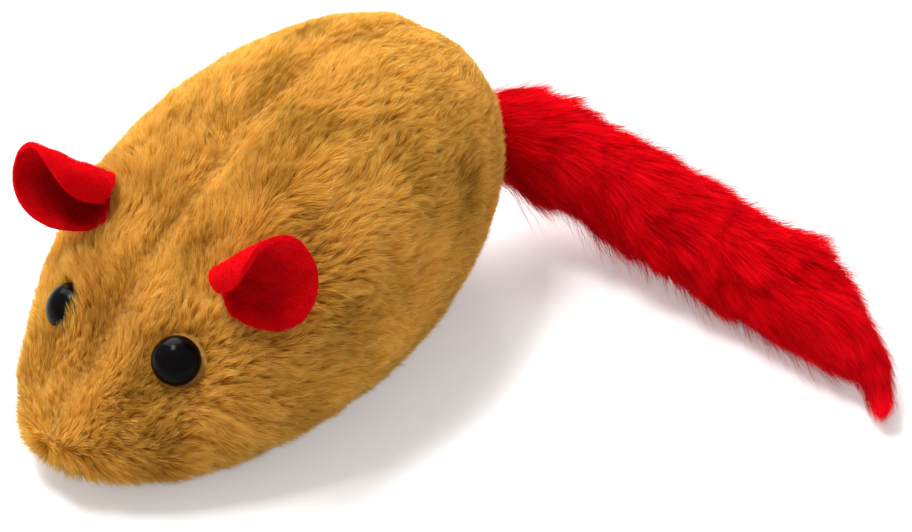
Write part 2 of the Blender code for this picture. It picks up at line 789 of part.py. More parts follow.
def make_tail():
    """The four sections, each with a pocket in its end for the round end of the next."""
    height = TAIL_ROOT_HEIGHT
    point, _, _, _ = OUTER_TREE.ray_cast(Vector((0, 0, height)), Vector((0, 1, 0)))
    root = point - Vector((0, ROOT_DEPTH, 0))
    route = tail_route(root)
    total = route[1][-1]
    cuts = [share * total for share in TAIL_JOINT_SHARES] + [total]
    names = ("tail_root", "tail_front", "tail_middle", "tail_tip")
    sections = []
    for i, name in enumerate(names):
        section = tail_section(name, route, cuts[i], cuts[i + 1], first=i == 0)
        if i < len(names) - 1:
            end = route_at(route, cuts[i + 1])
            radius = TAIL_BALL_SHARE * tail_radius(cuts[i + 1] / total) + GAP
            boolean(section, ball(f"{name}_pocket", radius, end), "DIFFERENCE")
        sections.append(section)
    rump_pocket = ball("rump_pocket", ROOT_BALL_RADIUS + GAP, root)
    rump_hole = ball("rump_hole", ROOT_HOLE_RADIUS, root)
    return sections, rump_pocket, rump_hole


def pivot_empty(name, place):
    empty = bpy.data.objects.new(name, None)
    empty.empty_display_size = TAIL_RADIUS
    empty.location = place
    PIECES.objects.link(empty)
    return empty


def carry(parent, children):
    """Parents pieces without moving them."""
    bpy.context.view_layer.update()
    for child in children:
        child.parent = parent
        child.matrix_parent_inverse = parent.matrix_world.inverted()


clear_scene()
PIECES = collection("plush_mouse")
CUTTERS = collection("cutters")
SIDES = (("left", 1), ("right", -1))

MIDLINE_START = 0.0
MIDLINE_START = -BODY_SINK - lowest_of_form()
OUTER = hide_as_cutter(body_form("outer_form", 0.0, CUTTERS))
OUTSET = hide_as_cutter(body_form("outset_form", -GAP, CUTTERS))
INNER = hide_as_cutter(body_form("inner_form", SKIN, CUTTERS))
bpy.context.view_layer.update()
OUTER_TREE = evaluated_tree(OUTER)

tail, tail_pocket, tail_hole = make_tail()
skin_holes = {}
eye_rooms = []
ear_pockets = []
carried = []
for name, sense in SIDES:
    eye, washer, shank_room, washer_room = make_eye(name, sense)
    ear, ear_pocket = make_ear(name, sense)
    skin_holes[name] = (shank_room, ear_pocket, tail_hole)
    eye_rooms.extend((shank_room, washer_room))
    ear_pockets.append(ear_pocket)
    carried.extend((eye, washer, ear))

side_panels = make_skin(skin_holes)
belly_panel = make_belly_panel()
bellows, reed_holder, reed_tongue, reed_clamp, squeaker_centre = make_squeaker()
fillings = make_fillings(squeaker_centre, eye_rooms, ear_pockets, tail_pocket)

back_slide = pivot_empty("back_slide", (0, 0, PANEL_EDGE))
belly_base = pivot_empty("belly_base", (0, 0, 0))
carry(back_slide, [*side_panels, *fillings[1:], *carried, tail[0]])
for section, following in zip(tail, tail[1:]):
    carry(section, [following])
carry(belly_base, [belly_panel, fillings[0], bellows, reed_holder, reed_clamp])
carry(reed_holder, [reed_tongue])
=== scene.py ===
"""Looks of a stuffed plush mouse: its pile, felt ears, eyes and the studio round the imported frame."""

import math
from collections import namedtuple

import bmesh
import bpy
import numpy as np
from mathutils import Matrix, Vector, kdtree
from mathutils.bvhtree import BVHTree


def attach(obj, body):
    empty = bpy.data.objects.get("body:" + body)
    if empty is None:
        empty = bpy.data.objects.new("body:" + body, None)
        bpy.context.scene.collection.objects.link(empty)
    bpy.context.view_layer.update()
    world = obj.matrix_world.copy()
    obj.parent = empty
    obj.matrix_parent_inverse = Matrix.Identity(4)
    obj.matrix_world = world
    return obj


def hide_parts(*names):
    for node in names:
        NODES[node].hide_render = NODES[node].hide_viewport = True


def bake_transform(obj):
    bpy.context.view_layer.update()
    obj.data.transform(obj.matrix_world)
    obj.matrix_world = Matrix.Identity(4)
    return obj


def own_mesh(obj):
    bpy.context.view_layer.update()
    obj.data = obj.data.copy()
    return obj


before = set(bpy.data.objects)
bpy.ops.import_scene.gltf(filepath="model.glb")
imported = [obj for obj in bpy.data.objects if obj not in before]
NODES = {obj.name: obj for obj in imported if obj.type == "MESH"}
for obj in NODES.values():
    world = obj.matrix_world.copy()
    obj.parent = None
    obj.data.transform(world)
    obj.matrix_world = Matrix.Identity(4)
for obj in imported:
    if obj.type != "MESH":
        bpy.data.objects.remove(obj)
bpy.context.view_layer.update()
SCENE = bpy.context.scene
MM = 0.001

# Camera, in the frame's axes
IMAGE_WIDTH = 912
CAMERA_TARGET = Vector((32.63, 17.83, 26.95)) * MM
CAMERA_AZIMUTH = math.radians(41.05)
CAMERA_ELEVATION = math.radians(35.39)
CAMERA_ROLL = math.radians(0.6)
CAMERA_DISTANCE = 689.27 * MM
FOCAL_PIXELS = 3681.64
SENSOR = 36.0
VIEW_BACK = Vector(
    (
        math.sin(CAMERA_AZIMUTH) * math.cos(CAMERA_ELEVATION),
        -math.cos(CAMERA_AZIMUTH) * math.cos(CAMERA_ELEVATION),
        math.sin(CAMERA_ELEVATION),
    )
)

# Body form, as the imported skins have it
BODY_LENGTH = 0.115
BODY_HALF_WIDTH = 0.0345
BODY_HEIGHT = 0.060
MIDLINE_START = 0.01356
MIDLINE_RISE = 0.0147
SECTION_POWER = 2 / 2.25
STATIONS = (0.0, 0.33, 0.67, 1.0)
WIDTH_SHARES = (0.73, 0.995, 0.915, 0.94)
RISE_SHARES = (0.036, 0.479, 0.655, 0.773)
DROP_SHARES = (0.377, 0.333, 0.438, 0.53)

# Tail: the middle line, and how thick the limb is along it
TAIL_ROUTE = (
    (0.0, 57.5, 26.0),
    (7.0, 63.0, 23.2),
    (14.0, 66.8, 20.8),
    (24.0, 69.7, 18.3),
    (40.0, 71.3, 15.3),
    (56.0, 72.3, 12.4),
    (72.0, 72.0, 10.2),
    (89.0, 68.0, 8.4),
    (97.0, 64.5, 6.4),
    (104.0, 57.5, 4.0),
)
TAIL_PIVOTS = {
    "tail_root": (0.0, 55.893, 26.0),
    "tail_front": (16.044, 65.969, 20.243),
    "tail_middle": (46.918, 70.217, 13.979),
    "tail_tip": (78.324, 69.231, 9.415),
}

# Ears: an oval of felt each, rolled forward; seat and base are where it is gathered and where it starts
EAR_TALL = 0.0113
EAR_WIDE = 0.0125
FELT = 0.0011
FELT_EDGE_ROUND = 0.00032
EAR_TRIM_SOFTNESS = 0.06
EAR_LIFT_SOFTNESS = 0.0006
Ear = namedtuple(
    "Ear",
    "side seat base tip face apex_depth base_cut tuck trim rest_height"
    " open_curl tight_curl curl_start curl_softness",
)
EARS = {
    "left": Ear(
        side=1,
        seat=Vector((15.283, -25.818, 38.455)) * MM,
        base=Vector((15.696, -26.837, 39.752)) * MM,
        tip=Vector((0.805, 0.331, 0.492)),
        face=Vector((0.415, -0.907, -0.069)),
        apex_depth=0.0090,
        base_cut=0.0033,
        tuck=0.0016,
        trim=0.0008,
        rest_height=0.0021,
        open_curl=-0.286,
        tight_curl=5.359,
        curl_start=-0.002,
        curl_softness=0.096,
    ),
    "right": Ear(
        side=-1,
        seat=Vector((-18.652, -20.355, 41.344)) * MM,
        base=Vector((-18.652, -20.355, 41.344)) * MM,
        tip=Vector((-0.584, -0.680, 0.443)),
        face=Vector((0.689, -0.704, -0.173)),
        apex_depth=0.0193,
        base_cut=0.0034,
        tuck=0.0010,
        trim=0.0016,
        rest_height=0.0004,
        open_curl=1.351,
        tight_curl=7.304,
        curl_start=-0.181,
        curl_softness=0.097,
    ),
}

# Eyes: seat on the skin, the way each looks, and how far the pile round it stands up (0 to 1)
Eye = namedtuple("Eye", "seat axis buried")
EYES = {
    "left": Eye(
        seat=Vector((15.345, -38.468, 27.349)) * MM,
        axis=Vector((0.3173, -0.6645, 0.6766)).normalized(),
        buried=0.0,
    ),
    "right": Eye(
        seat=Vector((-12.22, -39.848, 27.213)) * MM,
        axis=Vector((-0.206, -0.66, 0.7225)).normalized(),
        buried=1.0,
    ),
}
EYE_RADIUS = 0.0046
EYE_RIM = 0.0008
EYE_DOME = 0.0036
EYE_LIFT = 0.0003
BURIED_EYE_DROP = 0.0018
EYE_CORNER = 0.00025
SHANK_RADIUS = 0.0018
SHANK_LENGTH = 0.0085


# Materials


class Nodes:
    """Short ways to add and join shader nodes."""

    def __init__(self, name):
        self.material = bpy.data.materials.new(name)
        self.material.use_nodes = True
        self.tree = self.material.node_tree
        self.shader = self.tree.nodes["Principled BSDF"]
        self.output = self.tree.nodes["Material Output"]

    def add(self, kind, **settings):
        node = self.tree.nodes.new(kind)
        for key, value in settings.items():
            setattr(node, key, value)
        return node

    def join(self, source, target):
        self.tree.links.new(source, target)

    def noise(self, scale, detail=4.0, roughness=0.6):
        place = self.add("ShaderNodeTexCoord")
        node = self.add("ShaderNodeTexNoise")
        node.inputs["Scale"].default_value = scale
        node.inputs["Detail"].default_value = detail
        node.inputs["Roughness"].default_value = roughness
        self.join(place.outputs["Object"], node.inputs["Vector"])
        return node.outputs["Fac"]

    def ramp(self, factor, stops):
        node = self.add("ShaderNodeValToRGB")
        ramp = node.color_ramp
        while len(ramp.elements) < len(stops):
            ramp.elements.new(0.5)
        for element, (position, colour) in zip(ramp.elements, stops):
            element.position = position
            element.color = (*colour, 1.0)
        self.join(factor, node.inputs["Fac"])
        return node.outputs["Color"]

    def mix(self, factor, first, second, blend="MIX"):
        node = self.add("ShaderNodeMix", data_type="RGBA", blend_type=blend)
        for socket, value in ((0, factor), (6, first), (7, second)):
            if isinstance(value, (int, float)):
                node.inputs[socket].default_value = value
            elif isinstance(value, tuple):
                node.inputs[socket].default_value = (*value, 1.0)
            else:
                self.join(value, node.inputs[socket])
        return node.outputs[2]

    def bump(self, height, strength, distance):
        node = self.add("ShaderNodeBump")
        node.inputs["Strength"].default_value = strength
        node.inputs["Distance"].default_value = distance
        self.join(height, node.inputs["Height"])
        self.join(node.outputs["Normal"], self.shader.inputs["Normal"])

    def set(self, **values):
        for key, value in values.items():
            self.shader.inputs[key.replace("_", " ")].default_value = value


def pile_material(name, colours, dark, light, roughness, shine, through):
    """Fibre whose colour runs from root to tip and differs a little from tuft to tuft."""
    made = Nodes(name)
    data = made.add("ShaderNodeAttribute", attribute_name="pile")
    parts = made.add("ShaderNodeSeparateColor")
    made.join(data.outputs["Color"], parts.inputs["Color"])
    root, middle, tip = colours
    along = made.ramp(parts.outputs["Red"], [(0.0, root), (0.4, middle), (1.0, tip)])
    tone = made.ramp(parts.outputs["Green"], [(0.0, dark), (0.5, (1.0, 1.0, 1.0)), (1.0, light)])
    colour = made.mix(1.0, along, tone, "MULTIPLY")
    made.join(colour, made.shader.inputs["Base Color"])
    made.set(Roughness=roughness, Specular_IOR_Level=shine)
    thin = made.add("ShaderNodeBsdfTranslucent")
    made.join(colour, thin.inputs["Color"])
    both = made.add("ShaderNodeMixShader")
    both.inputs[0].default_value = through
    made.join(made.shader.outputs[0], both.inputs[1])
    made.join(thin.outputs[0], both.inputs[2])
    made.join(both.outputs[0], made.output.inputs["Surface"])
    return made.material


def plain_material(name, dark, light, roughness, scale, bump=0.2, distance=0.0002, **extra):
    """A surface with a fine mottle in its colour, its roughness and its relief."""
    made = Nodes(name)
    grain = made.noise(scale)
    made.join(made.ramp(grain, [(0.3, dark), (0.7, light)]), made.shader.inputs["Base Color"])
    low, high = roughness
    rough = made.ramp(grain, [(0.3, (low,) * 3), (0.7, (high,) * 3)])
    made.join(rough, made.shader.inputs["Roughness"])
    made.bump(grain, bump, distance)
    made.set(**extra)
    return made.material


def felt_material():
    """Pressed wool: tangled fibres in the colour and the relief, softer towards grazing light, with painted
    shade darkening it where the sheet is shut in by itself and painted light brightening it where it lies
    open.
    """
    made = Nodes("ear_felt")
    fine = made.noise(2600.0, 6.0, 0.7)
    broad = made.noise(240.0, 3.0, 0.5)
    dark, middle, light = (0.50, 0.0006, 0.003), (0.66, 0.001, 0.005), (0.80, 0.003, 0.010)
    colour = made.ramp(fine, [(0.28, dark), (0.52, middle), (0.8, light)])
    shade = made.ramp(broad, [(0.3, (0.86,) * 3), (0.7, (1.05,) * 3)])
    # Painted shade and light: the felt is darkened where the ear's own sheet shuts it in and brightened where
    # it lies open.
    shut_in = made.add("ShaderNodeAttribute", attribute_name="shut_in")
    depth = made.ramp(shut_in.outputs["Fac"], [(0.12, (1.14,) * 3), (0.58, (0.52,) * 3)])
    colour = made.mix(1.0, colour, shade, "MULTIPLY")
    made.join(made.mix(1.0, colour, depth, "MULTIPLY"), made.shader.inputs["Base Color"])
    rough = made.ramp(fine, [(0.2, (0.82,) * 3), (0.8, (0.98,) * 3)])
    made.join(rough, made.shader.inputs["Roughness"])
    made.bump(fine, 0.55, 0.00025)
    made.set(Sheen_Weight=0.05, Sheen_Roughness=0.5, Sheen_Tint=(1.0, 0.03, 0.03, 1.0))
    made.set(Specular_IOR_Level=0.03)
    return made.material


def set_material(obj, material):
    obj.data.materials.clear()
    obj.data.materials.append(material)


def object_of(mesh, material):
    """A new object in the scene, with the mesh's name and one material."""
    mesh.materials.append(material)
    obj = bpy.data.objects.new(mesh.name, mesh)
    SCENE.collection.objects.link(obj)
    return obj


def mesh_of(bm, name):
    mesh = bpy.data.meshes.new(name)
    bm.to_mesh(mesh)
    bm.free()
    return mesh


def tree_of(points):
    tree = kdtree.KDTree(len(points))
    for i, point in enumerate(points):
        tree.insert(point, i)
    tree.balance()
    return tree


# Forms


def swell(shares, along):
    """The one smooth curve through the shares at the stations."""
    total = 0.0
    for i, share in enumerate(shares):
        weight = 1.0
        for j, station in enumerate(STATIONS):
            if j != i:
                weight = weight * (along - station) / (STATIONS[i] - station)
        total = total + share * weight
    return total


def body_points(units, inset=0.0):
    """Where points of the unit sphere lie on the body, before it is cut flat below."""
    across, lengthwise, upward = units[:, 0], units[:, 1], units[:, 2]
    along = (1 + lengthwise) / 2
    spread = np.hypot(across, upward)
    half_width = spread * (BODY_HALF_WIDTH * swell(WIDTH_SHARES, along) - inset)
    rise = spread * (BODY_HEIGHT * swell(RISE_SHARES, along) - inset)
    drop = spread * (BODY_HEIGHT * swell(DROP_SHARES, along) - inset)
    angle = np.arctan2(upward, across)
    cos, sin = np.cos(angle), np.sin(angle)
    cos = np.sign(cos) * np.abs(cos) ** SECTION_POWER
    sin = np.sign(sin) * np.abs(sin) ** SECTION_POWER
    middle = MIDLINE_START + MIDLINE_RISE * along + (rise - drop) / 2
    return np.stack(
        (half_width * cos, lengthwise * (BODY_LENGTH / 2 - inset), middle + (rise + drop) / 2 * sin), axis=1
    )


def normalised(vectors):
    return vectors / np.maximum(np.linalg.norm(vectors, axis=-1, keepdims=True), 1e-12)


def tangents_of(units):
    """Two directions across each point of the unit sphere."""
    helper = np.where(np.abs(units[:, 1:2]) < 0.9, [[0.0, 1.0, 0.0]], [[1.0, 0.0, 0.0]])
    first = normalised(np.cross(helper, units))
    return first, np.cross(units, first)


def surface_at(units, step=1e-3):
    """Points, outward directions and the area that each point of the sphere stands for."""
    first, second = tangents_of(units)
    sides = []
    for tangent in (first, second):
        ahead = body_points(normalised(units + step * tangent))
        behind = body_points(normalised(units - step * tangent))
        sides.append((ahead - behind) / (2 * step))
    crossed = np.cross(sides[0], sides[1])
    points = body_points(units)
    area = np.linalg.norm(crossed, axis=1)
    return points, crossed / area[:, None], area


def scatter_on_body(count, rng):
    """Roots spread evenly over the body, with their outward directions."""
    kept_points, kept_normals, total = [], [], 0
    most = None
    while total < count:
        units = normalised(rng.normal(size=(count, 3)))
        points, normals, area = surface_at(units)
        if most is None:
            most = np.percentile(area, 99.5)
        keep = rng.random(count) < area / most
        kept_points.append(points[keep])
        kept_normals.append(normals[keep])
        total += int(keep.sum())
    return np.concatenate(kept_points)[:count], np.concatenate(kept_normals)[:count]


def smooth_noise(points, pitch, rng, waves=24):
    """A soft random field about zero: a few plane waves of about one pitch."""
    value = np.zeros(len(points))
    for _ in range(waves):
        direction = normalised(rng.normal(size=3))
        frequency = 2 * math.pi / (pitch * rng.uniform(0.7, 1.6))
        value += np.sin(points @ direction * frequency + rng.uniform(0, 7))
    return value / math.sqrt(waves / 2)


def nearest(points, centres):
    """The number of the centre that each point is nearest to."""
    tree = tree_of(centres)
    return np.array([tree.find(point)[1] for point in points])


# Strands


def strand_points(roots, normals, combs, lengths, leans, levels, lie=(0.55, 1.1)):
    """Points along each strand, with its lean's share at the root and at the tip as lie has them."""
    points = [roots]
    step = lengths[:, None] / levels
    for k in range(levels):
        share = (k + 0.5) / levels
        lean = leans * (lie[0] + (lie[1] - lie[0]) * share)
        direction = np.cos(lean)[:, None] * normals + np.sin(lean)[:, None] * combs
        points.append(points[-1] + step * direction)
    return np.stack(points, axis=1)


def pulls(shares, least, count, rng):
    """How strongly each tuft is drawn together at each step from root to tip."""
    return np.array(shares)[None, :, None] * rng.uniform(least, 1.0, (count, 1, 1))


def gathered(strands, tufts, count, pull):
    """Strands drawn towards the middle of their tuft, more so towards their tips."""
    middles = np.zeros((count, strands.shape[1], 3))
    number = np.maximum(np.bincount(tufts, minlength=count), 1)
    for k in range(strands.shape[1]):
        for axis in range(3):
            middles[:, k, axis] = np.bincount(tufts, strands[:, k, axis], count) / number
    return strands * (1 - pull) + middles[tufts] * pull


def strand_mesh(name, points, widths, tones, twists, normals, material):
    """Tapering ribbons with a point at their tip, as one mesh."""
    count, rings, _ = points.shape
    levels = rings - 1
    along = normalised(np.gradient(points, axis=1))
    side = normalised(np.cross(along, normals[:, None, :]))
    other = np.cross(side, along)
    side = np.cos(twists)[:, None, None] * side + np.sin(twists)[:, None, None] * other
    taper = np.array([1.0 - 0.75 * (k / levels) ** 1.5 for k in range(levels)])
    half = widths[:, None] * taper[None, :] / 2
    low = points[:, :-1] - side[:, :-1] * half[..., None]
    high = points[:, :-1] + side[:, :-1] * half[..., None]
    verts = np.concatenate(
        (np.stack((low, high), axis=2).reshape(count, 2 * levels, 3), points[:, -1:, :]), axis=1
    )
    per = 2 * levels + 1
    pattern = []
    for k in range(levels - 1):
        pattern += [2 * k, 2 * k + 1, 2 * k + 3, 2 * k + 2]
    pattern += [2 * levels - 2, 2 * levels - 1, 2 * levels]
    loops = (np.arange(count)[:, None] * per + np.array(pattern)[None, :]).ravel()
    sizes = np.tile(np.array([4] * (levels - 1) + [3]), count)
    starts = np.concatenate(([0], np.cumsum(sizes)[:-1]))
    mesh = bpy.data.meshes.new(name)
    mesh.vertices.add(count * per)
    mesh.vertices.foreach_set("co", verts.astype(np.float32).ravel())
    mesh.loops.add(len(loops))
    mesh.loops.foreach_set("vertex_index", loops.astype(np.int32))
    mesh.polygons.add(len(sizes))
    mesh.polygons.foreach_set("loop_start", starts.astype(np.int32))
    mesh.polygons.foreach_set("loop_total", sizes.astype(np.int32))
    mesh.update(calc_edges=True)
    mesh.shade_smooth()
    data = mesh.attributes.new("pile", "FLOAT_COLOR", "POINT")
    shares = np.array([k // 2 / levels for k in range(2 * levels)] + [1.0])
    colour = np.zeros((count, per, 4), np.float32)
    colour[..., 0] = shares[None, :]
    colour[..., 1] = tones[:, None]
    colour[..., 3] = 1.0
    data.data.foreach_set("color", colour.ravel())
    return object_of(mesh, material)


# Body pile

# Where the lie of the pile starts, and where the tail leaves the body
NOSE = np.array((0.0, -BODY_LENGTH / 2 - 0.004, 0.010))
RUMP = np.array(TAIL_PIVOTS["tail_root"]) * MM
BODY_STRANDS = 460000
WISPS = 42000
TUFTS = 7000
LOCKS = 1100
PILE_LENGTH = 0.0043
PILE_LEAN = 75.0
PILE_WIDTH = (0.00007, 0.00012)
PILE_ROOT_DEPTH = 0.0003
GROUND_INSET = 0.0001
FACE_SHARE = 0.34
LOW_SIDE = 0.016
BARE_AT_TAIL = 0.0060
BARE_AT_EAR = 0.0016
SEAM_DEPTH = 0.0007
SEAM_WIDTH = 0.0030
# The sides on which the pile has settled, how far, and how deep its roots and its ground may then lie
AWAY_FROM_VIEW = np.array((-0.80, 0.05, 0.60))
OVER_RUMP = np.array((0.26, 0.80, 0.54))
LEVEL_IN_VIEW = np.array((0.754, 0.657, 0.0))
SETTLING = 0.0010
DEEPEST_ROOT = 0.0009
DEEPEST_GROUND = 0.0005
FLOOR_CLEARANCE = 0.0001


def comb_over_body(points, normals):
    """The lie of the pile: from the nose to the rump, sinking a little on the flanks."""
    away = points - NOSE
    flow = away / np.linalg.norm(away, axis=1, keepdims=True)
    flow = flow + np.array((0.0, 0.6, 0.0))
    side = np.clip(np.abs(points[:, 0]) / BODY_HALF_WIDTH, 0, 1)
    flow[:, 2] -= 0.55 * side * np.clip((points[:, 1] + 0.055) / 0.03, 0, 1)
    flow[:, 0] += 0.35 * np.sign(points[:, 0]) * np.exp(-((points[:, 0] / 0.006) ** 2)) * (normals[:, 2] > 0)
    for eye in EYES.values():
        apart = points - np.array(eye.seat)
        distance = np.linalg.norm(apart, axis=1, keepdims=True)
        weight = np.clip(1 - (distance - EYE_RADIUS) / 0.003, 0, 1) * (0.45 - 0.45 * eye.buried)
        flow = flow * (1 - weight) + weight * apart / np.maximum(distance, 1e-6)
    flow -= (flow * normals).sum(1, keepdims=True) * normals
    return normalised(flow)


def turned(vectors, axes, angles):
    """Vectors turned about axes at right angles to them."""
    return np.cos(angles)[:, None] * vectors + np.sin(angles)[:, None] * np.cross(axes, vectors)


def seam_hollow(points, normals, width):
    """Near 1 along the seam over the back, and 0 away from it."""
    return np.exp(-((points[:, 0] / width) ** 2)) * np.clip(normals[:, 2] * 3, 0, 1)


def ground_drop(points, normals):
    """How far the ground lies under the body's form, along the seam and where the pile has settled."""
    turned_away = np.maximum(normals @ AWAY_FROM_VIEW, normals @ OVER_RUMP)
    settled = SETTLING * np.clip(turned_away, 0, 1) ** 2
    return SEAM_DEPTH * seam_hollow(points, normals, SEAM_WIDTH) + settled


def distance_to(points, place):
    return np.linalg.norm(points - np.array(place), axis=1)


def round_eyes_and_ears(points):
    """Which roots stay clear of the tail, eyes and ears, and how the pile is changed beside them."""
    keep = distance_to(points, RUMP) > BARE_AT_TAIL
    closeness, standing, pressed = np.zeros((3, len(points)))
    for eye in EYES.values():
        axis, apart = np.array(eye.axis), points - np.array(eye.seat)
        beside = np.linalg.norm(apart - (apart @ axis)[:, None] * axis, axis=1)
        near = np.linalg.norm(apart, axis=1) < 0.012
        keep &= ~(near & (beside < EYE_RADIUS + 0.0002 - 0.0014 * eye.buried))
        ring = np.clip(1 - (beside - EYE_RADIUS) / 0.0035, 0, 1) * near
        closeness = np.maximum(closeness, ring * (1 - eye.buried))
        ring = np.clip(1.3 - (beside - EYE_RADIUS) / 0.0045, 0, 1) * near
        facing = np.clip(0.50 + apart @ LEVEL_IN_VIEW / EYE_RADIUS, 0.15, 1)
        standing = np.maximum(standing, ring * facing * eye.buried)
    for ear in EARS.values():
        foot = distance_to(points, ear.seat)
        keep &= foot > BARE_AT_EAR
        near = np.flatnonzero(foot < 0.025)
        tree = tree_of(ear_grid(ear, 40, 14).reshape(-1, 3))
        apart = np.array([tree.find(point)[2] for point in points[near]])
        resting = np.clip(ear.rest_height / 0.0020, 0, 1)
        pressed[near] = np.maximum(pressed[near], np.clip(1 - (apart - 0.0022) / 0.0022, 0, 1) * resting)
        ring = np.clip(1 - (foot - 0.0030) / 0.0040, 0, 1) * (1 - resting)
        standing = np.maximum(standing, 0.75 * ring)
    return keep, closeness, standing, pressed


def make_body_pile(material):
    rng = np.random.default_rng(11)
    points, normals = scatter_on_body(BODY_STRANDS, rng)
    points[:, 2] = np.maximum(points[:, 2], 0.0)
    along = (points[:, 1] + BODY_LENGTH / 2) / BODY_LENGTH
    face = np.clip(1 - along / FACE_SHARE, 0, 1)
    keep, closeness, standing, pressed = round_eyes_and_ears(points)
    points, normals, along, face = points[keep], normals[keep], along[keep], face[keep]
    closeness, standing, pressed = closeness[keep], standing[keep], pressed[keep]
    count = len(points)

    numbers = (WISPS, TUFTS, LOCKS)
    groups = [nearest(points, points[rng.choice(count, number, replace=False)]) for number in numbers]
    wisp, tuft, lock = groups
    wisp_noise, tuft_noise, lock_noise = (
        rng.normal(size=(number, 4))[group] for group, number in zip(groups, numbers)
    )
    broad = smooth_noise(points, 0.011, rng)
    wide = smooth_noise(points, 0.022, rng)
    turn = 0.26 * wisp_noise[:, 0] + 0.12 * tuft_noise[:, 0] + 0.12 * lock_noise[:, 0]
    turn += 0.30 * smooth_noise(points, 0.015, rng) + 0.14 * rng.normal(size=count)
    combs = turned(comb_over_body(points, normals), normals, turn)

    seam = seam_hollow(points, normals, 0.55 * SEAM_WIDTH)
    # The pile lies flatter over the back and stands out more round the mouth and low on the sides.
    low = np.clip(1 - points[:, 2] / LOW_SIDE, 0, 1) * np.clip(1.2 - along / 0.5, 0, 1)
    sunny = np.clip(np.maximum(normals @ AWAY_FROM_VIEW, normals @ OVER_RUMP), 0, 1)
    lengths = PILE_LENGTH - 0.0007 * face + 0.0015 * low - 0.0008 * sunny * (1 + face) + 0.0022 * standing
    lengths *= 1 + 0.07 * broad + 0.06 * lock_noise[:, 1] + 0.05 * wisp_noise[:, 1]
    lengths *= rng.uniform(0.80, 1.16, count) * (1 - 0.30 * closeness)
    lengths *= (1 - 0.35 * pressed) * (1 - 0.34 * seam)
    leans = PILE_LEAN - 11.0 * face + 3.0 * lock_noise[:, 2] + 5.0 * wisp_noise[:, 2]
    leans += 8.0 * rng.normal(size=count) + 5.0 * broad - 48.0 * standing + 13.0 * pressed
    leans += 12.0 * sunny - 19.0 * low
    leans = np.radians(np.clip(leans, 15.0, 92.0))

    depths = PILE_ROOT_DEPTH + np.minimum(ground_drop(points, normals), DEEPEST_ROOT)
    roots = points - depths[:, None] * normals
    strands = strand_points(roots, normals, combs, lengths, leans, 2)
    strands = gathered(strands, wisp, WISPS, pulls((0.0, 0.15, 0.55), 0.3, WISPS, rng)[wisp])
    strands = gathered(strands, tuft, TUFTS, pulls((0.0, 0.05, 0.14), 0.0, TUFTS, rng)[tuft])
    floor = FLOOR_CLEARANCE + 0.0005 * rng.random((count, 1))
    strands[:, :, 2] = np.maximum(strands[:, :, 2], floor)

    tones = 0.5 + 0.15 * wisp_noise[:, 3] + 0.04 * tuft_noise[:, 3] + 0.04 * lock_noise[:, 3]
    tones += 0.12 * rng.normal(size=count) + 0.09 * broad + 0.08 * wide
    # Painted light and shade: the face's pile is lighter where it turns up and away from the camera towards
    # the lamps and darker where it turns away from them; painted shade darkens the pile in the seam's hollow
    # over the back.
    tones += face * (0.20 * sunny - 0.13) - 0.25 * seam
    tones = np.clip(tones, 0, 1)
    widths = rng.uniform(*PILE_WIDTH, count)
    twists = rng.normal(0, 0.6, count)

    left, front = points[:, 0] >= 0, along < 0.5
    zones = {
        "pile_left_front": left & front,
        "pile_left_rear": left & ~front,
        "pile_right_front": ~left & front,
        "pile_right_rear": ~left & ~front,
    }
    made = []
    for name, zone in zones.items():
        kept = [values[zone] for values in (strands, widths, tones, twists, normals)]
        made.append(strand_mesh(name, *kept, material))
    return made


def make_base_skin(material):
    """The knitted ground that the pile stands on, closed and resting on its flat belly."""
    bm = bmesh.new()
    bmesh.ops.create_uvsphere(
        bm, u_segments=120, v_segments=80, radius=1, matrix=Matrix.Rotation(math.pi / 2, 4, "X")
    )
    units = normalised(np.array([v.co for v in bm.verts]))
    _, normals, _ = surface_at(units)
    points = body_points(units, GROUND_INSET)
    points -= np.minimum(ground_drop(points, normals), DEEPEST_GROUND)[:, None] * normals
    points[:, 2] = np.maximum(points[:, 2], 0.0006)
    for vert, point in zip(bm.verts, points):
        vert.co = point
    mesh = mesh_of(bm, "plush_ground")
    mesh.shade_smooth()
    return object_of(mesh, material)


# Tail


def tail_curve():
    knots = np.array(TAIL_ROUTE) * MM
    ends = [2 * knots[0] - knots[1], *knots, 2 * knots[-1] - knots[-2]]
    points = []
    for a, b, c, d in zip(ends, ends[1:], ends[2:], ends[3:]):
        for t in np.linspace(0, 1, 24, endpoint=False):
            bend, twist = 2 * a - 5 * b + 4 * c - d, 3 * b - a - 3 * c + d
            points.append((2 * b + (c - a) * t + bend * t**2 + twist * t**3) / 2)
    points.append(knots[-1])
    points = np.array(points)
    lengths = np.append(0, np.cumsum(np.linalg.norm(np.diff(points, axis=0), axis=1)))
    return points, lengths


def tail_at(curve, lengths):
    """Points, directions, and a level and an upright side direction at lengths along the tail."""
    points, run = curve

    def at(places):
        return np.stack([np.interp(places, run, points[:, k]) for k in range(3)], axis=1)

    along = normalised(at(lengths + 0.0008) - at(lengths - 0.0008))
    level = normalised(np.cross(along, np.array((0.0, 0.0, 1.0))))
    return at(lengths), along, level, np.cross(level, along)


def length_at(curve, node):
    """How far along the tail a joint's pivot lies."""
    pivot = np.array(TAIL_PIVOTS[node]) * MM
    return curve[1][np.argmin(np.linalg.norm(curve[0] - pivot, axis=1))]


TAIL_STRANDS = 150000
TAIL_WISPS = 15000
TAIL_LOCKS = 900
TAIL_PILE_LENGTH = 0.0108
TAIL_PILE_LEAN = 78.0
TAIL_PILE_WIDTH = (0.00010, 0.00016)
TAIL_STRAY_SHARE = 0.10
TAIL_PILE_START = -0.0038
TAIL_HIDE_START = -0.004
TAIL_BARE_END = 0.0110
TAIL_TAPER = 0.034


